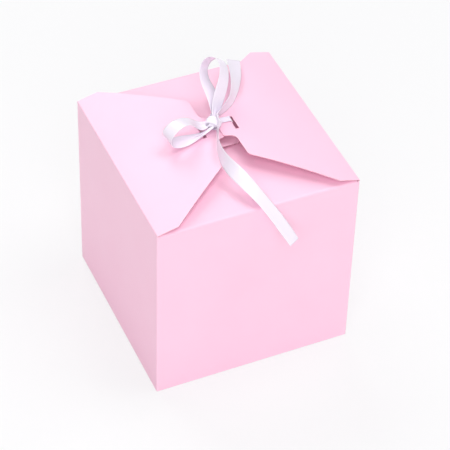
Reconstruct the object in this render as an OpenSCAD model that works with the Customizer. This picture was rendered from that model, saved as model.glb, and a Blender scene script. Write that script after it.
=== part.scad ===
// Gift box: a folding carton with four top flaps and a ribbon tied through two of them.
// +Z is up, the front wall faces -Y, and the origin is the middle of the footprint on the table.

/* [Box] */
// Outside width, from left wall to right wall
box_w = 150; // [130:1:180]
// Outside depth, from front wall to back wall
box_d = 150; // [130:1:180]
// Height of the left and right flaps' folds above the table
box_h = 152.5; // [100:0.5:220]
// Thickness of the board
board_t = 0.5; // [0.4:0.05:0.7]
// Outside radius of the upright folds
fold_r = 1; // [0.8:0.1:2]
// How far the front and back folds lie below the side folds, so that the flaps stack
fold_drop = 1; // [0.8:0.1:2]
// Gap between a wall's top and the flap that turns on it
fold_gap = 0.15; // [0.1:0.05:0.25]
// Width of the glued strip inside the left wall
glue_w = 15; // [8:1:25]
// How far the glued strip stops short of the wall's ends
glue_inset = 9; // [4:1:20]

/* [Main flaps] */
// Rise of the right flap's tip above its fold, as the board springs up
tip_rise = 12.4; // [9:0.2:16]
// How far the left tongue lies below the right one
tip_step = 0.9; // [0.8:0.1:1.5]
// How far the left tongue reaches under the right one
tip_lap = 0.6; // [0.3:0.1:1.5]
// How far to the right of the middle the tips meet
meet_off = 1; // [0:0.5:2]
// Slope of the board at the tips, in degrees
tip_slope = 1.6; // [0:0.2:4]
// Straight part of a flap's side, before it tapers
shoulder = 15.2; // [8:0.2:25]
// Width of the blunt nose
nose_w = 68; // [50:1:90]
// How far the nose stands back from the tip
nose_back = 8.4; // [6:0.2:12]
// Radius of the nose's corners
nose_r = 4.5; // [2:0.5:8]
// Width of the tongue at the tip
tongue_w = 22; // [18:1:30]
// Radius of the sweep from nose to tongue
sweep_r = 5; // [2:0.5:6]
// Radius of the tongue's corners
tongue_r = 1.5; // [0.5:0.5:3]
// Width of the ribbon slot, across the flap's length
slot_w = 2.6; // [2:0.1:4]
// Length of the ribbon slot
slot_len = 13.5; // [11:0.5:16]
// Distance from the tip to the middle of the slot
slot_back = 12.4; // [10:0.2:18]

/* [Dust flaps] */
// How far the two dust flaps lie over each other
dust_overlap = 28; // [8:1:30]
// Rise of the front flap's edge above its fold
front_rise = 3.8; // [3:0.2:5]
// Rise of the back flap's edge above its fold
back_rise = 6; // [5.6:0.2:8]
// Slope of the dust flaps at their edge, in degrees
dust_slope = 1; // [0:0.2:2]
// Turn of the front flap for each degree that the main flaps turn
front_turn = 0.5; // [0.4:0.05:0.5]
// Turn of the back flap for each degree that the main flaps turn
back_turn = 0.7; // [0.65:0.05:0.75]
// Clearance of the dust flaps from the side walls
dust_gap = 1.5; // [1:0.1:3]
// Radius of the dust flaps' corners
dust_r = 5; // [2:0.5:8]

/* [Bottom] */
// How far each bottom panel stays clear of the walls beside it
panel_inset = 5.5; // [5:0.5:10]
// Length over which a panel rises to its layer
ramp_len = 4; // [3:0.5:4.5]
// Gap between the layers
layer_gap = 0.05; // [0.05:0.05:0.2]
// Length of the side panels
side_len = 58; // [40:1:62]
// Distance from the front wall to the tuck
tuck_at = 88; // [75:1:100]
// Width of the tuck
tuck_w = 56; // [40:1:70]
// Length of the tuck past the notch
tuck_len = 20; // [12:1:28]
// Clearance of the tuck in the notch
tuck_gap = 1; // [0.5:0.1:2]
// Depth of the notch in the back panel
notch_len = 18; // [12:1:24]

/* [Ribbon] */
// Width of the ribbon
ribbon_w = 10; // [8:0.5:11]
// Thickness of the ribbon
ribbon_t = 0.3; // [0.2:0.05:0.4]
// Width of the ribbon where it is gathered in the slots
pass_w = 5; // [4:0.5:8]
// How far behind the middle of the slots the gathered ribbon lies
pass_off_y = 3.8; // [0:0.1:4]
// Clearance between the ribbon and the board
pass_gap = 0.15; // [0.1:0.05:0.3]
// Width of the knot, from left to right
knot_w = 11; // [9:0.5:13]
// Depth of the knot, from front to back
knot_d = 11; // [9:0.5:14]
// Height of the knot
knot_h = 6.5; // [6:0.5:9]
// Gap under the knot, and between it and the right-hand strand
knot_gap = 0.3; // [0.3:0.1:0.6]

/* [Hidden] */

pink = [0.98, 0.84, 0.92];
pale_pink = [0.99, 0.9, 0.96];
white = [0.97, 0.96, 0.98];
half_w = box_w / 2;
half_d = box_d / 2;
half_t = board_t / 2;
low_fold_z = box_h - fold_drop;
left_len = half_w - half_t + meet_off + tip_lap / 2;
right_len = half_w - half_t - meet_off + tip_lap / 2;
left_rise = tip_rise - tip_step;
dust_len = half_d - half_t + dust_overlap / 2;
over = 1;          // how far a cutting shape runs past what it cuts
arc_steps = 8;     // straight pieces in a rounded corner
curve_fn = 360;    // fineness of the flaps' long curves
bead_fn = 32;      // fineness of the folds' round edges

// ---- Outlines ----

// Points of a rounded corner of radius r at b, between the neighbouring corners a and c.
function rounded_corner(a, b, c, r) =
    let (
        to_a = (a - b) / norm(a - b), to_c = (c - b) / norm(c - b),
        half_angle = acos(max(-1, min(1, to_a * to_c))) / 2,
        middle = b + (to_a + to_c) / norm(to_a + to_c) * r / sin(half_angle),
        from = b + to_a * r / tan(half_angle) - middle,
        to = b + to_c * r / tan(half_angle) - middle,
        turn = atan2(from.x * to.y - from.y * to.x, from * to)
    )
    r <= 0 ? [b] : [for (i = [0:arc_steps])
        let (k = turn * i / arc_steps)
        middle + [from.x * cos(k) - from.y * sin(k), from.x * sin(k) + from.y * cos(k)]];

// Turns [x, y, radius] corners into an outline with rounded corners.
function rounded_outline(corners) =
    let (n = len(corners), flat = [for (c = corners) [c.x, c.y]])
    [for (i = [0:n - 1])
        each rounded_corner(flat[(i + n - 1) % n], flat[i], flat[(i + 1) % n], corners[i].z)];

// Adds the mirror image, in y, of one side's corners.
function both_sides(side) =
    concat(side, [for (i = [len(side) - 1:-1:0]) [side[i].x, -side[i].y, side[i].z]]);

// ---- Sprung flaps ----

// Radius of the arc that climbs rise over length and ends at end_slope.
function spring_r(length, rise, end_slope) =
    norm([length, rise]) / (2 * sin(atan2(rise, length) - end_slope));

// Slope of that arc at its fold.
function fold_slope(length, rise, end_slope) = 2 * atan2(rise, length) - end_slope;

// Height of that arc at the distance u from its fold.
function spring_z(u, length, rise, end_slope) =
    let (r = spring_r(length, rise, end_slope), s = fold_slope(length, rise, end_slope))
    sqrt(r * r - pow(u - r * sin(s), 2)) - r * cos(s);

// Side view of a flap: a thin arc from the fold's round bead, at the origin, to its edge.
module spring_profile(length, rise, end_slope) {
    r = spring_r(length, rise, end_slope);
    s = fold_slope(length, rise, end_slope);
    circle(d = board_t, $fn = bead_fn);
    intersection() {
        translate([r * sin(s), -r * cos(s)])
            difference() {
                circle(r = r + half_t, $fn = curve_fn);
                circle(r = r - half_t, $fn = curve_fn);
            }
        translate([0, -board_t]) square([length, rise + 4 * board_t]);
    }
}

// A flap that starts at the origin, runs along +X and is cut to the outline given as a child.
module sprung_flap(length, rise, end_slope, width) {
    intersection() {
        rotate([90, 0, 0])
            translate([0, 0, -width / 2])
                linear_extrude(height = width) spring_profile(length, rise, end_slope);
        translate([0, 0, -2 * over]) linear_extrude(height = rise + 4 * over) children();
    }
}

// ---- Walls ----

// Plan of a wall with the fold at its right-hand end, seen with its outer face towards -Y.
module wall_plan(length) {
    straight = length - 2 * fold_r;
    translate([-straight / 2, 0]) square([straight, board_t]);
    translate([straight / 2, fold_r])
        intersection() {
            difference() {
                circle(r = fold_r, $fn = bead_fn);
                circle(r = fold_r - board_t, $fn = bead_fn);
            }
            translate([0, -fold_r]) square(fold_r);
        }
}

// Top of a wall whose flap turns at fold_z.
function wall_top(fold_z) = fold_z - half_t - fold_gap;

module front_wall() {
    color(pink) translate([0, -half_d])
        linear_extrude(height = wall_top(low_fold_z)) wall_plan(box_w);
}

module right_wall() {
    color(pink) rotate(90) translate([0, -half_w])
        linear_extrude(height = wall_top(low_fold_z)) wall_plan(box_d);
    color(pink) side_wall_top(half_w - board_t);
}

module back_wall() {
    color(pink) rotate(180) translate([0, -half_d])
        linear_extrude(height = wall_top(low_fold_z)) wall_plan(box_w);
}

module left_wall() {
    color(pink) rotate(-90) translate([0, -half_w])
        linear_extrude(height = wall_top(low_fold_z)) wall_plan(box_d);
    color(pink) side_wall_top(-half_w);
}

// The strip by which the left and right walls stand higher than the other two.
module side_wall_top(x) {
    length = box_d - 2 * fold_r;
    translate([x, -length / 2, wall_top(low_fold_z)])
        cube([board_t, length, wall_top(box_h) - wall_top(low_fold_z)]);
}

// The strip folded in from the back wall and glued flat inside the left wall.
module glue_strip() {
    top = wall_top(low_fold_z);
    color(pale_pink) translate([-half_w + board_t, half_d - fold_r, 0])
        rotate([90, 0, 90])
            linear_extrude(height = board_t)
                polygon([[0, 1], [-glue_w, glue_inset], [-glue_w, top - glue_inset], [0, top - 1]]);
}

// ---- Bottom ----

layer_step = board_t + layer_gap;

// Side view of a bottom panel that leaves its wall at the table and rises to its layer.
module panel_profile(length, layer) {
    rise = layer * layer_step;
    polygon([
        [0, 0], [ramp_len, rise], [length, rise],
        [length, rise + board_t], [ramp_len, rise + board_t], [0, board_t]
    ]);
}

// A bottom panel that starts at the origin, runs along +X and is cut to the outline given.
module bottom_panel(length, layer, width) {
    intersection() {
        rotate([90, 0, 0])
            translate([0, 0, -width / 2])
                linear_extrude(height = width) panel_profile(length, layer);
        translate([0, 0, -over]) linear_extrude(height = 4 * layer_step + 2 * over) children();
    }
}

// The inmost panel, with the notch that takes the tuck.
module bottom_back_panel() {
    length = box_d - board_t - tuck_at + notch_len;
    width = box_w - 2 * panel_inset;
    color(pale_pink) translate([0, half_d - board_t]) rotate(-90)
        difference() {
            bottom_panel(length, 2, width)
                polygon(rounded_outline(both_sides([[0, width / 2, 0], [length, width / 2 - 12, 8]])));
            translate([length - notch_len - board_t - tuck_gap, -tuck_w / 2 - tuck_gap, -over])
                cube([length, tuck_w + 2 * tuck_gap, 4 * layer_step + 2 * over]);
        }
}

// A side panel. The part of its free end behind the tuck's fold is cut away.
module side_bottom_panel() {
    width = box_d - 2 * panel_inset;
    tuck_side = half_w - board_t - tuck_w / 2 - tuck_gap;
    tuck_front = tuck_at - half_d - board_t - tuck_gap;
    corners = [
        [0, width / 2, 0], [tuck_side - 12, width / 2 - 3, 3],
        [tuck_side, tuck_front + 8, 2], [tuck_side, tuck_front, 0],
        [side_len, tuck_front, 3], [side_len, -width / 2 + 12, 6], [0, -width / 2, 0]
    ];
    color(pale_pink) bottom_panel(side_len, 1, width) polygon(rounded_outline(corners));
}

module bottom_left_panel() {
    translate([-half_w + board_t, 0]) side_bottom_panel();
}

module bottom_right_panel() {
    mirror([1, 0]) translate([-half_w + board_t, 0]) side_bottom_panel();
}

// The outer panel. Its tuck goes up through the notch and lies on the inmost panel.
module bottom_front_panel() {
    width = box_w - 2 * panel_inset;
    step_at = tuck_at - board_t;
    tuck_z = 3 * layer_step;
    corners = both_sides(
        [[0, width / 2, 0], [step_at * 0.4, width / 2 - 2, 4], [step_at, tuck_w / 2, 0]]);
    color(pale_pink) translate([0, -half_d + board_t]) rotate(90) {
        linear_extrude(height = board_t) polygon(rounded_outline(corners));
        translate([step_at - board_t, -tuck_w / 2]) cube([board_t, tuck_w, tuck_z + board_t]);
        translate([step_at - board_t, 0, tuck_z])
            linear_extrude(height = board_t)
                polygon(rounded_outline(both_sides(
                    [[0, tuck_w / 2, 0], [tuck_len, tuck_w / 2 - 5, 5]])));
    }
}

// ---- Top flaps ----

// Plan of a dust flap. Its sides lean in so far that it never catches on the main flaps.
module dust_outline(length, turn) {
    root = half_w - dust_gap;
    polygon(rounded_outline(both_sides(
        [[-over, root, 0], [0, root, 0], [length, root - turn * length, dust_r]])));
}

module front_dust_flap() {
    color(pale_pink) translate([0, -half_d + half_t, low_fold_z]) rotate(90)
        sprung_flap(dust_len, front_rise, dust_slope, box_w)
            dust_outline(dust_len, front_turn);
}

module back_dust_flap() {
    color(pale_pink) translate([0, half_d - half_t, low_fold_z]) rotate(-90)
        sprung_flap(dust_len, back_rise, dust_slope, box_w)
            dust_outline(dust_len, back_turn);
}

// Plan of a main flap: shoulders, tapering sides, a blunt nose and the tongue with its slot.
module main_outline(length) {
    nose_at = length - nose_back;
    difference() {
        polygon(rounded_outline(both_sides([
            [-over, half_d, 0], [shoulder, half_d, 2], [nose_at, nose_w / 2, nose_r],
            [nose_at, tongue_w / 2 + 2, sweep_r], [length, tongue_w / 2, tongue_r]
        ])));
        translate([length - slot_back - slot_w / 2, -slot_len / 2]) square([slot_w, slot_len]);
    }
}

// A main flap with its fold along the Y axis at the left wall's top.
module main_flap(length, rise) {
    translate([-half_w + half_t, 0, box_h])
        sprung_flap(length, rise, tip_slope, box_d) main_outline(length);
}

module left_flap() {
    color(pink) main_flap(left_len, left_rise);
}

module right_flap() {
    color(pink) mirror([1, 0]) main_flap(right_len, tip_rise);
}

// ---- Ribbon ----

tip_top = box_h + tip_rise + half_t;                           // top of the right tongue
pass_off = half_t + pass_gap + ribbon_t / 2;                   // ribbon's middle from the board's
under_z = box_h + left_rise - pass_off;                        // ribbon's middle under the tongues
knot_at = [-1.3, 1.5, tip_top + knot_gap + knot_h / 2];        // middle of the knot
edge_at = [4, -half_d, low_fold_z + half_t];                   // where a tail crosses the front

// Point at t along a smooth curve from p1 to p2, with p0 and p3 as the points beyond them.
function between(p0, p1, p2, p3, t) =
    (2 * p1 + (p2 - p0) * t + (2 * p0 - 5 * p1 + 4 * p2 - p3) * t * t
        + (3 * p1 - p0 - 3 * p2 + p3) * t * t * t) / 2;

// The stations, each [x, y, z, across x, y, z], with steps smooth ones for each gap.
function smoothed(stations, steps) =
    let (last = len(stations) - 1)
    [for (i = [0:last - 1]) for (j = [0:steps - 1])
        between(stations[max(i - 1, 0)], stations[i], stations[i + 1],
            stations[min(i + 2, last)], j / steps), stations[last]];

// Lays a ribbon along its stations: a place, and the direction across the ribbon there.
module ribbon(stations, steps = 5) {
    path = smoothed(stations, steps);
    last = len(path) - 1;
    place = [for (s = path) [s[0], s[1], s[2]]];
    rings = [for (i = [0:last])
        let (
            along = place[min(i + 1, last)] - place[max(i - 1, 0)],
            ahead = along / norm(along),
            lean = [path[i][3], path[i][4], path[i][5]],
            flat = lean - ahead * (lean * ahead),
            across = flat / norm(flat),
            face = cross(ahead, across)
        )
        for (corner = [[-1, -1], [1, -1], [1, 1], [-1, 1]])
            place[i] + across * corner[0] * ribbon_w / 2 + face * corner[1] * ribbon_t / 2];
    sides = [for (i = [0:last - 1])
        let (a = 4 * i, b = a + 4)
        each [
            [a, b + 1, a + 1], [a, b, b + 1], [a + 1, b + 2, a + 2], [a + 1, b + 1, b + 2],
            [a + 2, b + 2, a + 3], [a + 3, b + 2, b + 3], [a + 3, b, a], [a + 3, b + 3, b]
        ]];
    polyhedron(points = rings, faces = concat(
        [[0, 1, 2, 3]], sides, [[for (k = [3:-1:0]) 4 * last + k]]), convexity = 6);
}

// Stations given from a point, such as the knot's middle.
function from(origin, stations) =
    [for (s = stations) [origin.x + s[0], origin.y + s[1], origin.z + s[2], s[3], s[4], s[5]]];

// Side view of a strand round the left tongue: from the knot at x = from, over the tongue,
// down its slot and back under it to x = to. A right-hand strand is the mirror image.
module pass_profile(from, to, tip, length, rise) {
    inside = tip - slot_back + slot_w / 2 - pass_gap - ribbon_t / 2;
    slot_z = box_h + spring_z(length - slot_back, length, rise, tip_slope);
    bend([from, box_h + rise + pass_off], [inside, slot_z + pass_off]);
    bend([inside, slot_z + pass_off], [inside, slot_z - pass_off]);
    bend([inside, slot_z - pass_off], [to, under_z]);
}

// A straight piece of the strand between two round bends.
module bend(from, to) {
    length = norm(to - from);
    translate(from) rotate(atan2(to.y - from.y, to.x - from.x)) {
        circle(d = ribbon_t, $fn = bead_fn);
        translate([0, -ribbon_t / 2]) square([length, ribbon_t]);
        translate([length, 0]) circle(d = ribbon_t, $fn = bead_fn);
    }
}

// The strand as a solid, pass_w wide, at the back of the slots.
module pass(from, to, tip, length, rise) {
    rotate([90, 0, 0]) translate([0, 0, -pass_off_y - pass_w / 2])
        linear_extrude(height = pass_w) pass_profile(from, to, tip, length, rise);
}

module ribbon_left_pass() {
    color(white) pass(knot_at.x - knot_w / 2 + 2, meet_off - knot_gap, meet_off + tip_lap / 2,
        left_len, left_rise);
}

module ribbon_right_pass() {
    color(white) mirror([1, 0])
        pass(-knot_at.x - knot_w / 2 - knot_gap - ribbon_t / 2,
            -meet_off - tip_lap / 2 - knot_gap - ribbon_t / 2,
            -meet_off + tip_lap / 2, right_len, tip_rise);
}

module ribbon_knot() {
    r = knot_h / 2;
    color(white) translate(knot_at)
        hull()
            for (x = [-1, 1], y = [-1, 1])
                translate([x * (knot_w / 2 - r), y * (knot_d / 2 - r), 0]) sphere(r = r, $fn = 24);
}

left_loop = [
    [-6.4, 0.4, 0.3, 0.17, -0.92, 0.05],
    [-9.9, -0.6, 1, 0.14, -0.95, -0.28],
    [-17.1, -3.2, 6.2, 0.1, -0.94, -0.33],
    [-24.1, -6, 11.6, 0.24, -0.96, -0.17],
    [-32.5, -8.6, 13.5, 0.28, -0.96, -0.08],
    [-39, -10, 7.7, 0.27, -0.96, -0.08],
    [-36.1, -8.7, -0.4, 0.13, -0.98, -0.16],
    [-27.7, -7.2, -3.7, 0.07, -0.96, -0.2],
    [-18.5, -6.4, -4, 0.08, -1, -0.02],
    [-9.3, -5.6, -3, 0.03, -0.96, 0.26],
    [-5.9, -4.9, -1.6, 0, -0.97, 0.22]
];

back_loop = [
    [3.5, 8, 0.5, 0.75, 0.45, -0.45],
    [5.2, 11.7, 6.2, 0.92, 0.18, -0.34],
    [5.4, 19.6, 10.6, 0.94, 0.15, -0.3],
    [5.2, 27.9, 14, 0.85, 0.22, -0.48],
    [6.9, 34.6, 19.6, 0.74, 0.33, -0.58],
    [12.2, 34.8, 26.4, 0.73, 0.31, -0.6],
    [16.5, 27.6, 28.1, 0.72, 0.27, -0.64],
    [15.8, 19.9, 24, 0.78, 0.23, -0.58],
    [12.4, 14.9, 17.3, 0.85, 0.09, -0.51],
    [8.4, 11.3, 10, 0.86, 0.06, -0.5],
    [4.6, 7.3, 2.9, 0.8, 0.22, -0.56]
];

back_tail = [
    [5, 4.7, 1.6, -0.11, 0.31, -0.94],
    [16.9, 12.9, 1.6, 0.11, 0, -0.99],
    [25.5, 23.8, 1.9, 0.38, -0.23, -0.9],
    [32, 36, 1.3, 0.64, -0.36, -0.68],
    [37.2, 48.8, -0.6, 0.83, -0.39, -0.41],
    [41.7, 61.5, -4, 0.92, -0.36, -0.17]
];

// The first stations lie on edge above the tongues, the others go over the front fold.
front_tail = concat(
    from([knot_at.x, knot_at.y, tip_top + 0.5 + ribbon_w / 2], [
        [0.2, -6, 0, 0.16, -0.07, 0.98],
        [-0.8, -8.5, 0, 0.15, -0.06, 0.99],
        [-5.9, -19.7, 0, 0.1, -0.03, 0.99],
        [-9.4, -31.5, 0, 0.16, -0.05, 0.99],
        [-9.5, -43.7, -0.8, 0.45, -0.04, 0.89]
    ]),
    from(edge_at, [
        [-11.2, 21.3, 15.5, 0.81, 0.15, 0.56],
        [-6.1, 11.3, 10.5, 0.9, 0.39, 0.17],
        [-1, 2.2, 4.3, 0.87, 0.49, 0.02],
        [3.9, -6.5, -2.9, 0.87, 0.49, 0.02],
        [8.6, -14.7, -11, 0.88, 0.48, 0.02],
        [13.1, -22.7, -19.2, 0.85, 0.53, -0.05]
    ])
);

module ribbon_left_loop() {
    color(white) ribbon(from(knot_at, left_loop));
}

module ribbon_back_loop() {
    color(white) ribbon(from(knot_at, back_loop));
}

module ribbon_front_tail() {
    color(white) ribbon(front_tail);
}

module ribbon_back_tail() {
    color(white) ribbon(from(knot_at, back_tail));
}

front_wall();
right_wall();
back_wall();
left_wall();
glue_strip();
bottom_back_panel();
bottom_left_panel();
bottom_right_panel();
bottom_front_panel();
front_dust_flap();
back_dust_flap();
left_flap();
right_flap();
ribbon_left_pass();
ribbon_right_pass();
ribbon_knot();
ribbon_left_loop();
ribbon_back_loop();
ribbon_front_tail();
ribbon_back_tail();
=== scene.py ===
import math

import bpy
import numpy as np
from mathutils import Matrix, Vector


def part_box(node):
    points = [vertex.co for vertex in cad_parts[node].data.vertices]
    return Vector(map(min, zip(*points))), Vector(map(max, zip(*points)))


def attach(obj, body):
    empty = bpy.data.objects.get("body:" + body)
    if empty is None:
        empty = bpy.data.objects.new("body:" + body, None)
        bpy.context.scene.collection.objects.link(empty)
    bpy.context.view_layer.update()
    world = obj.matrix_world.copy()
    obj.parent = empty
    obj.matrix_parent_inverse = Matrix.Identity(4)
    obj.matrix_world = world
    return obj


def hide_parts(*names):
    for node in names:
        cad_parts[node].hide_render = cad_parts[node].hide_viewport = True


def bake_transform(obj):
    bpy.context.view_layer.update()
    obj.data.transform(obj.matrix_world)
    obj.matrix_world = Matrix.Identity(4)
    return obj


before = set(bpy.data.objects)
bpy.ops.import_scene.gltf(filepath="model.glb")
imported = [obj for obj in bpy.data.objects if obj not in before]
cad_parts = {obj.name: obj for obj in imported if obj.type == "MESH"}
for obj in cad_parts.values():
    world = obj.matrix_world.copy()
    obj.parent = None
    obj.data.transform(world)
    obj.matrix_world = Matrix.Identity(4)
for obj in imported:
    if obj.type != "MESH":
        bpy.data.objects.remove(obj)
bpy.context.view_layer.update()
MM = 0.001

# ---- Camera ----
# It looks down on the box from the front left, from a good metre and a half away. Its azimuth
# is towards the left from the front, its tilt is downwards, and it is rolled a little.

camera_data = bpy.data.cameras.new("camera")
camera_data.sensor_width = 36.0
camera_data.lens = 164.63
camera_data.clip_end = 50.0
camera = bpy.data.objects.new("camera", camera_data)
camera_at = (-0.44859, -0.98539, 1.09566)
azimuth, tilt, roll = (math.radians(angle) for angle in (24.912, 43.414, 1.913))
camera_back = np.array((
    -math.sin(azimuth) * math.cos(tilt), -math.cos(azimuth) * math.cos(tilt), math.sin(tilt)))
level = np.array((math.cos(azimuth), -math.sin(azimuth), 0.0))
upright = np.cross(camera_back, level)
camera_right = level * math.cos(roll) + upright * math.sin(roll)
camera_up = upright * math.cos(roll) - level * math.sin(roll)
camera.matrix_world = Matrix([
    (camera_right[i], camera_up[i], camera_back[i], camera_at[i]) for i in range(3)
] + [(0, 0, 0, 1)])
bpy.context.scene.collection.objects.link(camera)
bpy.context.scene.camera = camera

# ---- Table and light ----
# A wide white table top in a light room. The key is almost overhead, a little to the right, a
# large fill stands at the front left, and a light behind the box lights the flaps' far side.

bpy.context.scene.view_settings.view_transform = "Standard"
world = bpy.data.worlds.new("daylight")
world.use_nodes = True
world.node_tree.nodes["Background"].inputs["Color"].default_value = (1.0, 1.0, 1.0, 1.0)
world.node_tree.nodes["Background"].inputs["Strength"].default_value = 0.39
bpy.context.scene.world = world


def softbox(name, towards, distance, size, strength):
    """A square area light at distance along the direction towards, facing the box's middle.
    strength is the light it would give a surface that faces it, where 1 renders a colour as written."""
    aim = np.array(towards, float)
    aim /= np.linalg.norm(aim)
    side = np.cross((0.0, 0.0, 1.0), aim)
    side /= np.linalg.norm(side)
    top = np.cross(aim, side)
    middle = np.array((0.0, 0.0, 0.1))
    lamp = bpy.data.lights.new(name, "AREA")
    lamp.shape = "SQUARE"
    lamp.size = size
    lamp.energy = strength * math.pi * 4 * distance ** 2
    holder = bpy.data.objects.new(name, lamp)
    at = middle + aim * distance
    holder.matrix_world = Matrix([
        (side[i], top[i], aim[i], at[i]) for i in range(3)
    ] + [(0, 0, 0, 1)])
    bpy.context.scene.collection.objects.link(holder)


softbox("key", (0.35, -0.1, 1.0), 2.0, 1.0, 0.28)
softbox("fill", (-0.3, -0.68, 0.6), 2.2, 1.6, 0.43)
softbox("back", (-0.05, 0.66, 0.75), 2.0, 1.1, 0.26)

table_mesh = bpy.data.meshes.new("table")
table_mesh.from_pydata(
    [(-4, -4, -0.0002), (4, -4, -0.0002), (4, 4, -0.0002), (-4, 4, -0.0002)], [], [(0, 1, 2, 3)])
table = bpy.data.objects.new("table", table_mesh)
bpy.context.scene.collection.objects.link(table)
table_paint = bpy.data.materials.new("white_table")
table_paint.use_nodes = True
table_shader = table_paint.node_tree.nodes["Principled BSDF"]
table_shader.inputs["Base Color"].default_value = (0.93, 0.93, 0.935, 1.0)
table_shader.inputs["Roughness"].default_value = 0.7
table_nodes, table_links = table_paint.node_tree.nodes, table_paint.node_tree.links
seen = table_nodes.new("ShaderNodeLightPath")
share = table_nodes.new("ShaderNodeMath")
share.operation = "MULTIPLY"
share.inputs[1].default_value = 0.7
table_links.new(seen.outputs["Is Camera Ray"], share.inputs[0])
plain = table_nodes.new("ShaderNodeEmission")
plain.inputs["Color"].default_value = (0.93, 0.93, 0.94, 1.0)
lit = table_nodes.new("ShaderNodeMixShader")
table_links.new(share.outputs["Value"], lit.inputs["Fac"])
table_links.new(table_shader.outputs["BSDF"], lit.inputs[1])
table_links.new(plain.outputs["Emission"], lit.inputs[2])
table_links.new(lit.outputs["Shader"], table_nodes["Material Output"].inputs["Surface"])
table_mesh.materials.append(table_paint)


# ---- Carton board ----
# One sheet of 0.5 mm coated board, printed pale pink outside, with a paler inside and a
# darker cut edge. The coat has a soft sheen over fine paper fibres.

BOARD_T = 0.5


def board(name, outward=None):
    """Material of the board. A face is printed where its side is above 0, unprinted where it is
    below 0, and cut edge at 0. The side is the face's own attribute, or, for a panel that lies
    flat, how far its normal points along the direction outward."""
    paint = bpy.data.materials.new(name)
    paint.use_nodes = True
    tree = paint.node_tree
    nodes, links = tree.nodes, tree.links
    shader = nodes["Principled BSDF"]
    place = nodes.new("ShaderNodeTexCoord")

    if outward is None:
        facing = nodes.new("ShaderNodeAttribute")
        facing.attribute_name = "side"
        side = facing.outputs["Fac"]
    else:
        facing = nodes.new("ShaderNodeVectorMath")
        facing.operation = "DOT_PRODUCT"
        facing.inputs[1].default_value = outward
        links.new(place.outputs["Normal"], facing.inputs[0])
        side = facing.outputs["Value"]
    printed = nodes.new("ShaderNodeMapRange")
    printed.inputs["From Min"].default_value = 0.3
    printed.inputs["From Max"].default_value = 0.5
    links.new(side, printed.inputs["Value"])
    inner = nodes.new("ShaderNodeMapRange")
    inner.inputs["From Min"].default_value = -0.3
    inner.inputs["From Max"].default_value = -0.5
    links.new(side, inner.inputs["Value"])

    cloud = nodes.new("ShaderNodeTexNoise")
    cloud.inputs["Scale"].default_value = 28.0
    cloud.inputs["Detail"].default_value = 2.0
    links.new(place.outputs["Object"], cloud.inputs["Vector"])
    ink = nodes.new("ShaderNodeValToRGB")
    ink.color_ramp.elements[0].position = 0.3
    ink.color_ramp.elements[0].color = (0.98, 0.592, 0.752, 1.0)
    ink.color_ramp.elements[1].position = 0.7
    ink.color_ramp.elements[1].color = (0.985, 0.606, 0.765, 1.0)
    links.new(cloud.outputs["Fac"], ink.inputs["Fac"])

    edge_or_print = nodes.new("ShaderNodeMix")
    edge_or_print.data_type = "RGBA"
    edge_or_print.inputs["A"].default_value = (0.84, 0.44, 0.53, 1.0)
    links.new(printed.outputs["Result"], edge_or_print.inputs["Factor"])
    links.new(ink.outputs["Color"], edge_or_print.inputs["B"])
    both = nodes.new("ShaderNodeMix")
    both.data_type = "RGBA"
    both.inputs["B"].default_value = (0.985, 0.635, 0.785, 1.0)
    links.new(inner.outputs["Result"], both.inputs["Factor"])
    links.new(edge_or_print.outputs["Result"], both.inputs["A"])
    links.new(both.outputs["Result"], shader.inputs["Base Color"])

    fibre = nodes.new("ShaderNodeTexNoise")
    fibre.inputs["Scale"].default_value = 900.0
    fibre.inputs["Detail"].default_value = 3.0
    links.new(place.outputs["Object"], fibre.inputs["Vector"])
    gloss = nodes.new("ShaderNodeMapRange")
    gloss.inputs["To Min"].default_value = 0.38
    gloss.inputs["To Max"].default_value = 0.48
    links.new(fibre.outputs["Fac"], gloss.inputs["Value"])
    links.new(gloss.outputs["Result"], shader.inputs["Roughness"])
    grain = nodes.new("ShaderNodeBump")
    grain.inputs["Strength"].default_value = 0.12
    grain.inputs["Distance"].default_value = 0.00004
    links.new(fibre.outputs["Fac"], grain.inputs["Height"])
    links.new(grain.outputs["Normal"], shader.inputs["Normal"])
    shader.inputs["Specular IOR Level"].default_value = 0.5
    return paint


folded_board = board("board")


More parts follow.
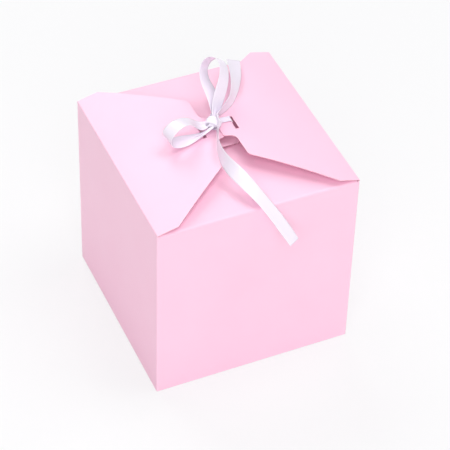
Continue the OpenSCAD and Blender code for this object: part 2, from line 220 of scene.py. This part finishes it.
def board_sheet(name, middle, kept=None):
    """A piece of board round its middle surface, a grid of points in mm. The two faces lie half
    the board's thickness to either side, along the cross product of the grid's two directions,
    which points to the printed side, and a rim closes every edge. kept says which of the
    grid's cells are board."""
    rows, cols = middle.shape[:2]
    along = np.gradient(middle, axis=0)
    over = np.gradient(middle, axis=1)
    normal = np.cross(along, over)
    normal /= np.linalg.norm(normal, axis=2)[..., None]
    upper = (middle + normal * BOARD_T / 2).reshape(-1, 3)
    lower = (middle - normal * BOARD_T / 2).reshape(-1, 3)
    corner = (np.arange(rows - 1)[:, None] * cols + np.arange(cols - 1)[None, :])
    if kept is not None:
        corner = corner[kept]
    corner = corner.ravel()
    quads = np.stack([corner, corner + cols, corner + cols + 1, corner + 1], axis=1)
    count = rows * cols
    starts, ends = quads.ravel(), np.roll(quads, -1, axis=1).ravel()
    free = ~np.isin(starts * count + ends, ends * count + starts)
    rim = np.stack([ends[free], starts[free], starts[free] + count, ends[free] + count], axis=1)
    faces = np.concatenate([quads, quads[:, ::-1] + count, rim])
    used, faces = np.unique(faces, return_inverse=True)
    faces = faces.reshape(-1, 4)
    points = np.concatenate([upper, lower])[used] * MM
    mesh = bpy.data.meshes.new(name)
    mesh.from_pydata(points.tolist(), [], faces.tolist())
    mesh.polygons.foreach_set("use_smooth", np.ones(len(faces), bool))
    mesh.set_sharp_from_angle(angle=math.radians(40))
    side = mesh.attributes.new("side", "FLOAT", "FACE")
    side.data.foreach_set("value", np.repeat([1.0, -1.0, 0.0], [len(quads), len(quads), len(rim)]))
    mesh.materials.append(folded_board)
    piece = bpy.data.objects.new(name, mesh)
    bpy.context.scene.collection.objects.link(piece)
    return piece


def rounded(corners):
    """The plane path through [x, y, radius] corners, with each corner but the first and the last
    rounded: an arc about the point on the corner's bisector at radius / sin(half the angle)."""
    corners = np.asarray(corners, float)
    path = [corners[:1, :2]]
    for before, here, after in zip(corners[:-2], corners[1:-1], corners[2:]):
        if here[2] <= 0:
            path.append(here[None, :2])
            continue
        back = (before - here)[:2] / np.linalg.norm((before - here)[:2])
        on = (after - here)[:2] / np.linalg.norm((after - here)[:2])
        half = math.acos(max(-1.0, min(1.0, float(back @ on)))) / 2
        middle = here[:2] + (back + on) / np.linalg.norm(back + on) * here[2] / math.sin(half)
        first = here[:2] + back * here[2] / math.tan(half) - middle
        last = here[:2] + on * here[2] / math.tan(half) - middle
        turn = math.atan2(first[0] * last[1] - first[1] * last[0], float(first @ last))
        k = turn * np.linspace(0, 1, 9)[:, None]
        path.append(middle + np.concatenate([
            first[0] * np.cos(k) - first[1] * np.sin(k),
            first[0] * np.sin(k) + first[1] * np.cos(k)], axis=1))
    path.append(corners[-1:, :2])
    return np.concatenate(path)


# ---- Walls ----
# The four walls are one strip of board, folded round and closed by a glue strip that goes
# from the back wall's end inside the left wall. They stop SKIRT below the top folds, and the
# flaps go on from there. DUST_HALF and MAIN_HALF are half the width of the two kinds of fold.

HALF = 75.0
FOLD_R = 1.0
SIDE_FOLD = 152.5
LOW_FOLD = 151.5
SKIRT = 1.5
CORNER_TOP = 152.0
DUST_HALF = 73.56
MAIN_HALF = 73.98
STEP = 0.01


def wall_strip():
    """The middle surface of the strip: its plan is carried up from the lower to the upper edge.
    The upper edge is lowest where the dust flaps go on from it, higher where the main flaps do,
    and highest at the corners. The glue strip tapers towards its end."""
    near = HALF - BOARD_T / 2
    turn = FOLD_R - BOARD_T / 2
    glued = near - BOARD_T - 0.02
    glue_end, glue_w, taper_rise = 59, 15, 8
    dust_out, dust_in = DUST_HALF + STEP, DUST_HALF - STEP
    main_out, main_in = MAIN_HALF + STEP, MAIN_HALF - STEP
    plan = rounded([
        [-glued, glue_end, 0], [-glued, near, turn],
        [-dust_out, near, 0], [-dust_in, near, 0], [dust_in, near, 0], [dust_out, near, 0],
        [near, near, turn],
        [near, main_out, 0], [near, main_in, 0], [near, -main_in, 0], [near, -main_out, 0],
        [near, -near, turn],
        [dust_out, -near, 0], [dust_in, -near, 0], [-dust_in, -near, 0], [-dust_out, -near, 0],
        [-near, -near, turn],
        [-near, -main_out, 0], [-near, -main_in, 0], [-near, main_in, 0], [-near, main_out, 0],
        [-near, HALF - BOARD_T, 0]])
    fine = [plan[:1]]
    for a, b in zip(plan[:-1], plan[1:]):
        steps = max(1, int(np.linalg.norm(b - a) / 12))
        fine.append(a + (b - a) * np.linspace(0, 1, steps + 1)[1:, None])
    plan = np.concatenate(fine)
    x, y = np.abs(plan.T)
    top = np.where(
        x < DUST_HALF, LOW_FOLD - SKIRT, np.where(y < MAIN_HALF, SIDE_FOLD - SKIRT, CORNER_TOP))
    inner_face = HALF - FOLD_R
    first = np.arange(len(plan)) < np.argmax(plan[:, 1] > inner_face) + 2
    share = np.clip((inner_face - plan[:, 1]) / glue_w, 0, 1)
    taper = np.where(first, share * taper_rise + 1, 0)
    top = np.where(first, LOW_FOLD - SKIRT - taper, top)
    up = np.linspace(1, 0, 15)[None, :]
    z = taper[:, None] * (1 - up) + top[:, None] * up
    return np.stack([
        np.repeat(plan[:, :1], 15, axis=1), np.repeat(plan[:, 1:], 15, axis=1), z], axis=2)


walls = board_sheet("carton_walls", wall_strip())
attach(walls, "carton")
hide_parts("front_wall", "right_wall", "back_wall", "left_wall", "glue_strip")


# ---- Bottom ----
# The four bottom panels lie over each other, and the front one's tuck locks them through the
# notch in the back one.

bottom_board = board("board_bottom", outward=(0.0, 0.0, -1.0))
for node in ("bottom_back_panel", "bottom_left_panel", "bottom_right_panel", "bottom_front_panel"):
    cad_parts[node].material_slots[0].material = bottom_board


# ---- Top flaps ----
# Each flap is one piece with the round of its fold. The board springs up from the fold in a
# shallow arc. The two main flaps end in a tongue with a slot for the ribbon.

LEFT_RISE, RIGHT_RISE, TIP_SLOPE = 11.5, 12.4, 1.6
FRONT_RISE, BACK_RISE, DUST_SLOPE = 3.8, 6.0, 1.0
SLOT_BACK, SLOT_W, SLOT_HALF = 12.4, 2.6, 6.75


def spring(length, rise, end_slope):
    """Side view of a flap's middle: an arc that climbs rise over length and ends at end_slope.
    Its radius is the chord / (2 sin(chord's slope - end_slope)). Gives height and slope at u."""
    chord = math.atan2(rise, length)
    end = math.radians(end_slope)
    radius = math.hypot(length, rise) / (2 * math.sin(chord - end))
    start = 2 * chord - end

    def height(u):
        return np.sqrt(radius ** 2 - (u - radius * math.sin(start)) ** 2) - radius * math.cos(start)
    return height, start


def flap(name, length, rise, end_slope, outline, round_r, fold_z, place, slot=None):
    """A flap from its wall's top to its edge. Rows follow the profile: up the wall, round the
    fold and along the arc. Columns fan out from the middle strip, which is as wide as the slot,
    to the outline's half width at that row. place turns (u, across, height) into x, y, z."""
    height, start = spring(length, rise, end_slope)
    fold = rounded([
        [0, -SKIRT, 0], [0, 0, round_r], [10 * math.cos(start), 10 * math.sin(start), 0]])[1:-1]
    side = rounded(outline)
    extra = [] if slot is None else [slot[0], slot[1]]
    u = np.unique(np.round(np.concatenate([
        side[:, 0], np.arange(3, length, 2.5), extra, [length]]), 4))
    u = u[u > fold[-1, 0] + 0.3]
    u = u[np.concatenate([[True], np.diff(u) > 0.02])]
    rows_u = np.concatenate([[0, 0], fold[:, 0], u])
    rows_z = np.concatenate([[-SKIRT, (fold[0, 1] - SKIRT) / 2], fold[:, 1], height(u)])
    half = np.interp(rows_u, side[:, 0], side[:, 1])
    half[:2] = min(side[0, 1], HALF - FOLD_R - 0.05)
    central = np.linspace(-SLOT_HALF, SLOT_HALF, 10)
    fan = np.linspace(0, 1, 13)[1:]
    across = np.concatenate([
        -SLOT_HALF - (half[:, None] - SLOT_HALF) * fan[None, ::-1],
        np.repeat(central[None, :], len(half), axis=0),
        SLOT_HALF + (half[:, None] - SLOT_HALF) * fan[None, :]], axis=1)
    cols = across.shape[1]
    grid = place(np.repeat(rows_u[:, None], cols, axis=1), across,
                 np.repeat(rows_z[:, None], cols, axis=1) + fold_z)
    kept = None
    if slot is not None:
        mid = (rows_u[:-1] + rows_u[1:]) / 2
        cut_rows = (mid > slot[0]) & (mid < slot[1])
        cut_cols = np.zeros(cols - 1, bool)
        cut_cols[12:-12] = True
        kept = ~(cut_rows[:, None] & cut_cols[None, :])
    return board_sheet(name, grid, kept)


def main_outline(length):
    """Half of a main flap's outline: shoulder, taper, blunt nose and tongue."""
    nose = length - 8.4
    return [[0, 75, 0], [15.2, 75, 2], [nose, 34, 4.5], [nose + 0.3, 13, 5], [length, 11, 1.5],
            [length, 9, 0]]


def dust_outline(length, turn):
    """Half of a dust flap's outline, whose side leans in by turn for each mm of its length."""
    return [[0, 73.5, 0], [length, 73.5 - turn * length, 5], [length, 60 - turn * length, 0]]


fold_at = HALF - BOARD_T / 2
left_length, right_length, dust_length = 76.05, 74.05, 88.75
main_round, dust_round = 0.7, 1.4
slot_near, slot_far = SLOT_BACK + SLOT_W / 2, SLOT_BACK - SLOT_W / 2

left_flap = flap(
    "left_flap_board", left_length, LEFT_RISE, TIP_SLOPE, main_outline(left_length), main_round,
    SIDE_FOLD,
    lambda u, v, z: np.stack([u - fold_at, v, z], axis=2),
    slot=(left_length - slot_near, left_length - slot_far))
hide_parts("left_flap")
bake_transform(left_flap)

right_flap = flap(
    "right_flap_board", right_length, RIGHT_RISE, TIP_SLOPE, main_outline(right_length),
    main_round, SIDE_FOLD,
    lambda u, v, z: np.stack([fold_at - u, -v, z], axis=2),
    slot=(right_length - slot_near, right_length - slot_far))
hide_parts("right_flap")
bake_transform(right_flap)

front_dust = flap(
    "front_dust_board", dust_length, FRONT_RISE, DUST_SLOPE, dust_outline(dust_length, 0.5),
    dust_round, LOW_FOLD,
    lambda u, v, z: np.stack([-v, u - fold_at, z], axis=2))
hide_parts("front_dust_flap")
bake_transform(front_dust)

back_dust = flap(
    "back_dust_board", dust_length, BACK_RISE, DUST_SLOPE, dust_outline(dust_length, 0.7),
    dust_round, LOW_FOLD,
    lambda u, v, z: np.stack([v, fold_at - u, z], axis=2))
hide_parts("back_dust_flap")
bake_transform(back_dust)


# ---- Satin ribbon ----
# One length of white 10 mm satin ribbon, tied through the slots of the two tongues. Each
# visible run of it is a strip of its own, from the knot outwards.

def satin(name):
    """White satin with a faint lilac cast: fine lengthwise threads and a woven edge, both from
    the strip's own UV map, in metres, along and across."""
    cloth = bpy.data.materials.new(name)
    cloth.use_nodes = True
    tree = cloth.node_tree
    nodes, links = tree.nodes, tree.links
    shader = nodes["Principled BSDF"]
    place = nodes.new("ShaderNodeUVMap")
    place.uv_map = "threads"
    split = nodes.new("ShaderNodeSeparateXYZ")
    links.new(place.outputs["UV"], split.inputs["Vector"])

    stretch = nodes.new("ShaderNodeMapping")
    stretch.inputs["Scale"].default_value = (90.0, 5200.0, 1.0)
    links.new(place.outputs["UV"], stretch.inputs["Vector"])
    thread = nodes.new("ShaderNodeTexNoise")
    thread.inputs["Scale"].default_value = 1.0
    thread.inputs["Detail"].default_value = 2.0
    links.new(stretch.outputs["Vector"], thread.inputs["Vector"])

    from_middle = nodes.new("ShaderNodeMath")
    from_middle.operation = "ABSOLUTE"
    links.new(split.outputs["Y"], from_middle.inputs[0])
    selvedge = nodes.new("ShaderNodeMapRange")
    selvedge.inputs["From Min"].default_value = 0.0043
    selvedge.inputs["From Max"].default_value = 0.0047
    links.new(from_middle.outputs["Value"], selvedge.inputs["Value"])

    tint = nodes.new("ShaderNodeMix")
    tint.data_type = "RGBA"
    tint.inputs["A"].default_value = (0.86, 0.79, 0.905, 1.0)
    tint.inputs["B"].default_value = (0.88, 0.82, 0.925, 1.0)
    links.new(thread.outputs["Fac"], tint.inputs["Factor"])
    rim = nodes.new("ShaderNodeMix")
    rim.data_type = "RGBA"
    rim.inputs["B"].default_value = (0.89, 0.84, 0.93, 1.0)
    links.new(selvedge.outputs["Result"], rim.inputs["Factor"])
    links.new(tint.outputs["Result"], rim.inputs["A"])
    links.new(rim.outputs["Result"], shader.inputs["Base Color"])

    weave = nodes.new("ShaderNodeBump")
    weave.inputs["Strength"].default_value = 0.25
    weave.inputs["Distance"].default_value = 0.00003
    links.new(thread.outputs["Fac"], weave.inputs["Height"])
    links.new(weave.outputs["Normal"], shader.inputs["Normal"])
    shader.inputs["Roughness"].default_value = 0.26
    shader.inputs["Specular IOR Level"].default_value = 0.8
    shader.inputs["Sheen Weight"].default_value = 0.15
    shader.inputs["Sheen Roughness"].default_value = 0.4
    return cloth


ribbon_cloth = satin("white_satin")
knot_low, knot_high = (np.array(c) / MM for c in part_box("ribbon_knot"))
knot_middle = (knot_low + knot_high) / 2
RIBBON_W = 10.0
RIBBON_T = 0.22


def ribbon_piece(name, grid, v, closed=False):
    """A piece of ribbon through a grid of points in mm, rows along it and columns at the places
    v across it, from -1 to 1. A closed piece's last row is joined to its first."""
    rows, cols = grid.shape[:2]
    ring = np.concatenate([grid, grid[:1]]) if closed else grid
    spine = ring.mean(axis=1)
    along = np.concatenate([[0], np.cumsum(np.linalg.norm(np.diff(spine, axis=0), axis=1))])
    row = np.arange(rows if closed else rows - 1)
    following = (row + 1) % rows
    col = np.arange(cols - 1)
    quads = np.stack([
        row[:, None] * cols + col, row[:, None] * cols + col + 1,
        following[:, None] * cols + col + 1, following[:, None] * cols + col], axis=2).reshape(-1, 4)
    across = RIBBON_W / 2 * v
    threads = np.stack([
        np.stack([along[row][:, None] + 0 * col, 0 * row[:, None] + across[col]], axis=2),
        np.stack([along[row][:, None] + 0 * col, 0 * row[:, None] + across[col + 1]], axis=2),
        np.stack([along[row + 1][:, None] + 0 * col, 0 * row[:, None] + across[col + 1]], axis=2),
        np.stack([along[row + 1][:, None] + 0 * col, 0 * row[:, None] + across[col]], axis=2),
    ], axis=2) * MM
    mesh = bpy.data.meshes.new(name)
    mesh.from_pydata((grid.reshape(-1, 3) * MM).tolist(), [], quads.tolist())
    layer = mesh.uv_layers.new(name="threads")
    layer.data.foreach_set("uv", threads.astype(np.float32).ravel())
    mesh.polygons.foreach_set("use_smooth", np.ones(len(quads), bool))
    mesh.materials.append(ribbon_cloth)
    piece = bpy.data.objects.new(name, mesh)
    bpy.context.scene.collection.objects.link(piece)
    thick = piece.modifiers.new("thickness", "SOLIDIFY")
    thick.thickness = RIBBON_T * MM
    thick.offset = 0.0
    return piece, along[-1] * MM


def smooth_curve(points, at):
    """Natural cubic spline through points, one for each whole number, read at the numbers at:
    the second derivatives solve M[i-1] + 4 M[i] + M[i+1] = 6 (P[i-1] - 2 P[i] + P[i+1]), with
    none at the two ends."""
    points = np.asarray(points, float)
    count = len(points)
    system = 4 * np.eye(count) + np.eye(count, k=1) + np.eye(count, k=-1)
    system[0, :] = system[-1, :] = 0
    system[0, 0] = system[-1, -1] = 1
    bend = np.zeros_like(points)
    bend[1:-1] = 6 * (points[:-2] - 2 * points[1:-1] + points[2:])
    curve = np.linalg.solve(system, bend)
    i = np.clip(np.floor(at).astype(int), 0, count - 2)
    t = (at - i)[:, None]
    return ((1 - t) * points[i] + t * points[i + 1]
            + ((1 - t) ** 3 - (1 - t)) / 6 * curve[i] + (t ** 3 - t) / 6 * curve[i + 1])


def ribbon_strip(name, origin, stations, gather=(0.0, 0.0), over=(11.0, 11.0)):
    """A strip of ribbon along a smooth curve. Each station is a place, from origin, and the
    direction across the ribbon. Towards a gathered end, the strip narrows and pleats: gather
    gives the share of its width that it loses, and over the length in mm, at the first and at
    the last end."""
    stations = np.asarray(stations, float)
    steps = 24 * (len(stations) - 1)
    at = np.linspace(0, len(stations) - 1, steps + 1)
    centre = smooth_curve(stations[:, :3], at) + np.asarray(origin, float)
    ahead = np.gradient(centre, axis=0)
    ahead /= np.linalg.norm(ahead, axis=1)[:, None]
    across = smooth_curve(stations[:, 3:], at)
    across -= ahead * np.sum(across * ahead, axis=1)[:, None]
    across /= np.linalg.norm(across, axis=1)[:, None]
    face = np.cross(ahead, across)
    length = np.concatenate([[0], np.cumsum(np.linalg.norm(np.diff(centre, axis=0), axis=1))])

    near_first = np.clip(1 - length / over[0], 0, 1) ** 1.3 * gather[0]
    near_last = np.clip(1 - (length[-1] - length) / over[1], 0, 1) ** 1.3 * gather[1]
    pinch = near_first + near_last
    v = np.linspace(-1, 1, 17)
    reach = (RIBBON_W / 2) * (1 - pinch)[:, None] * v[None, :]
    lift = (1.2 * pinch)[:, None] * np.cos(2 * np.pi * 1.25 * v)[None, :]
    grid = (centre[:, None, :] + across[:, None, :] * reach[..., None]
            + face[:, None, :] * lift[..., None])
    return ribbon_piece(name, grid, v)


# ---- Bow ----
# Two loops and two tails come out of the knot. The left loop lies over the left tongue, the
# back loop stands up, the front tail hangs over the front fold and the back tail lies on the
# right flap.

left_loop, left_loop_length = ribbon_strip("left_loop", knot_middle, [
    [-1.2, 1.7, -0.7, 0.21, -0.87, 0.45],
    [-9.9, -0.6, 0.2, 0.14, -0.97, -0.12],
    [-17.1, -3.2, 6.5, 0.10, -0.98, -0.14],
    [-24.1, -6, 12.3, 0.24, -0.96, 0.05],
    [-32.1, -8.6, 13.5, 0.28, -0.96, -0.02],
    [-39, -10, 7.7, 0.27, -0.96, -0.08],
    [-36.1, -8.7, -0.4, 0.13, -0.98, -0.16],
    [-27.7, -7.2, -3.7, 0.07, -0.96, -0.2],
    [-18.5, -6.4, -3.9, 0.08, -0.98, 0.1],
    [-9.3, -5.8, -2.2, 0.03, -0.88, 0.47],
    [-1.1, -3.9, 0.2, -0.04, -0.8, 0.6],
], gather=(0.4, 0.75), over=(14.0, 24.0))
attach(left_loop, "left_top")
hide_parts("ribbon_left_loop")

back_loop, back_loop_length = ribbon_strip("back_loop", knot_middle, [
    [1, 3, -0.2, 0.64, 0.68, -0.28],
    [3.1, 7, 0.6, 0.72, 0.6, -0.3],
    [5.2, 11.7, 6.2, 0.92, 0.18, -0.34],
    [5.4, 19.6, 10.6, 0.94, 0.15, -0.3],
    [5.2, 27.9, 14, 0.85, 0.22, -0.48],
    [6.9, 34.6, 19.6, 0.74, 0.33, -0.58],
    [12.2, 34.8, 26.4, 0.73, 0.31, -0.6],
    [16.5, 27.6, 28.1, 0.72, 0.27, -0.64],
    [15.8, 19.9, 24, 0.78, 0.23, -0.58],
    [12.4, 14.9, 17.3, 0.85, 0.09, -0.51],
    [8.4, 11.3, 10, 0.86, 0.06, -0.5],
    [4.6, 7.3, 2.9, 0.8, 0.22, -0.56],
    [1.5, 2, 0.8, 0.7, 0.3, -0.5],
], gather=(0.4, 0.4))
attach(back_loop, "left_top")
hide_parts("ribbon_back_loop")

back_tail, back_tail_length = ribbon_strip("back_tail", knot_middle, [
    [1.5, 2, 0.8, -0.2, 0.4, -0.9],
    [5.5, 5.1, 1.6, -0.11, 0.31, -0.94],
    [16.9, 12.9, 1.6, 0.11, 0, -0.99],
    [25.5, 23.8, 1.9, 0.38, -0.23, -0.9],
    [32, 36, 1.3, 0.64, -0.36, -0.68],
    [37.2, 48.8, -0.6, 0.83, -0.39, -0.41],
    [41.7, 61.5, -4, 0.92, -0.36, -0.17],
], gather=(0.4, 0.0))
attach(back_tail, "left_top")
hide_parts("ribbon_back_tail")

tail_root = np.array((knot_middle[0], knot_middle[1], knot_low[2] + 5.2))
front_fold = np.array((4.0, -75.0, 151.75))
front_tail_route = np.array([
    [2.2, 2.6, 0, 0.27, -0.1, 0.96],
    [-0.8, -8.5, 0, 0.15, -0.06, 0.99],
    [-5.9, -19.7, 0, 0.1, -0.03, 0.99],
    [-9.4, -31.5, 0, 0.16, -0.05, 0.99],
    [-9.5, -43.7, -0.8, 0.45, -0.04, 0.89],
], float)
front_tail_route[:, :3] += tail_root
front_tail_end = np.array([
    [-11.2, 21.3, 15.5, 0.81, 0.15, 0.56],
    [-6.1, 11.3, 10.5, 0.9, 0.39, 0.17],
    [-1, 2.2, 4.3, 0.87, 0.49, 0.02],
    [3.9, -6.5, -2.9, 0.87, 0.49, 0.02],
    [8.6, -14.7, -11, 0.88, 0.48, 0.02],
    [12.4, -21.5, -18.0, 0.85, 0.53, -0.05],
], float)
front_tail_end[:, :3] += front_fold
front_tail, front_tail_length = ribbon_strip(
    "front_tail", (0, 0, 0), np.concatenate([front_tail_route, front_tail_end]), gather=(0.4, 0.0))
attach(front_tail, "left_top")
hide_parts("ribbon_front_tail")


# ---- Strands through the slots ----
# From the knot, the gathered ribbon runs over each tongue, goes down through its slot and
# comes back under the tongue to where the two tongues meet.

def strand(name, tip, towards, length, rise, knot_end, under_end):
    """A strand behind the middle of the slots. tip is where the tongue ends, and towards the
    way its flap goes from there. Its pleats stand away from the board."""
    behind, half_w, pleat_h = 3.8, 2.5, 0.8
    face_gap, edge_gap = 0.28, 0.3  # its middle from the board's faces and from the slot's edge
    over_turn, under_turn = 6.0, 8.5  # where it turns towards the slot, behind the tongue's end
    wide_bend, tight_bend = 4, 0.45
    height, _ = spring(length, rise, TIP_SLOPE)
    gap = BOARD_T / 2 + face_gap
    inside = slot_far + edge_gap
    surface = SIDE_FOLD + height(length - np.array([over_turn, under_turn, inside]))
    path = rounded([
        [knot_end, surface[0] + gap, 0], [over_turn, surface[0] + gap, wide_bend],
        [inside, surface[2] + gap, tight_bend], [inside, surface[2] - gap, tight_bend],
        [under_turn, surface[1] - gap, wide_bend], [under_end, surface[0] - gap - 0.1, 0]])
    fine = [path[:1]]
    for a, b in zip(path[:-1], path[1:]):
        steps = max(1, int(np.linalg.norm(b - a) / 0.5))
        fine.append(a + (b - a) * np.linspace(0, 1, steps + 1)[1:, None])
    path = np.concatenate(fine)
    ahead = np.gradient(path, axis=0)
    ahead /= np.linalg.norm(ahead, axis=1)[:, None]
    away = np.stack([-ahead[:, 1], ahead[:, 0]], axis=1)
    v = np.linspace(-1, 1, 41)
    pleat = pleat_h * (0.5 - 0.5 * np.cos(2 * np.pi * 1.5 * v + 0.6))
    grid = np.stack([
        tip + towards * (path[:, :1] + away[:, :1] * pleat),
        behind + half_w * v[None, :] + 0 * path[:, :1],
        path[:, 1:] + away[:, 1:] * pleat], axis=2)
    return ribbon_piece(name, grid, v)


left_pass, left_pass_length = strand("left_pass", 1.3, -1, left_length, LEFT_RISE, 3.5, 0.9)
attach(left_pass, "left_top")
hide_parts("ribbon_left_pass")

right_pass, right_pass_length = strand("right_pass", 0.7, 1, right_length, RIGHT_RISE, 4.4, 1.1)
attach(right_pass, "right_top")
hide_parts("ribbon_right_pass")


# ---- Knot ----
# The ribbon is pulled tight round its own middle: a pleated band goes over the root of the
# loops, from the back left to the front right, round a small firm core.

def knot_band():
    """A closed band in the upright plane along (1, -1): a superellipse that tightens towards
    its two edges and has three shallow pleats. It is drawn to the front left of the middle."""
    half_long, half_tall, half_wide = 5.5, 3.1, 3.9
    drawn = np.array((-1.0, -1.3, 0.1))
    turn = np.linspace(0, 2 * np.pi, 72, endpoint=False)
    v = np.linspace(-1, 1, 25)
    swell = 1 - 0.2 * v ** 4 + 0.035 * np.cos(2 * np.pi * 1.5 * v)
    flat = np.sign(np.cos(turn)) * np.abs(np.cos(turn)) ** 0.85 * half_long
    tall = np.sign(np.sin(turn)) * np.abs(np.sin(turn)) ** 0.85 * half_tall
    along = np.array((0.7071, -0.7071, 0.0))
    side = np.array((0.7071, 0.7071, 0.0))
    up = np.array((0.0, 0.0, 1.0))
    lean = 0.5 * np.sin(turn)
    grid = (knot_middle + drawn + along * (flat[:, None] * swell)[..., None]
            + up * (tall[:, None] * swell)[..., None]
            + side * (half_wide * v[None, :] + lean[:, None])[..., None])
    return ribbon_piece("knot_band", grid, v, closed=True)


band, band_length = knot_band()
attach(band, "left_top")
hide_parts("ribbon_knot")

core_r, core_half = 4.4, 2.6
core_middle = knot_middle + (-0.8, -1.0, 0)
core_mesh = bpy.data.meshes.new("knot_core")
turn, rise = np.meshgrid(np.linspace(0, 2 * np.pi, 48, endpoint=False),
                         np.linspace(-np.pi / 2, np.pi / 2, 25)[1:-1])
pleat = 1 + 0.06 * np.cos(9 * turn)
core = np.stack([
    core_r * pleat * np.cos(rise) * np.cos(turn), core_r * pleat * np.cos(rise) * np.sin(turn),
    core_half * np.sin(rise)], axis=2).reshape(-1, 3)
core = np.concatenate([core, [[0, 0, -core_half], [0, 0, core_half]]]) + core_middle
low = np.arange(22)[:, None] * 48
around = np.arange(48)[None, :]
sides = np.stack([low + around, low + (around + 1) % 48, low + 48 + (around + 1) % 48,
                  low + 48 + around], axis=2).reshape(-1, 4).tolist()
caps = [[48 * 23, (k + 1) % 48, k] for k in range(48)]
caps += [[48 * 23 + 1, 48 * 22 + k, 48 * 22 + (k + 1) % 48] for k in range(48)]
core_mesh.from_pydata((core * MM).tolist(), [], sides + caps)
core_mesh.polygons.foreach_set("use_smooth", np.ones(len(core_mesh.polygons), bool))
core_mesh.uv_layers.new(name="threads")
core_mesh.materials.append(ribbon_cloth)
knot_core = bpy.data.objects.new("knot_core", core_mesh)
bpy.context.scene.collection.objects.link(knot_core)
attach(knot_core, "left_top")
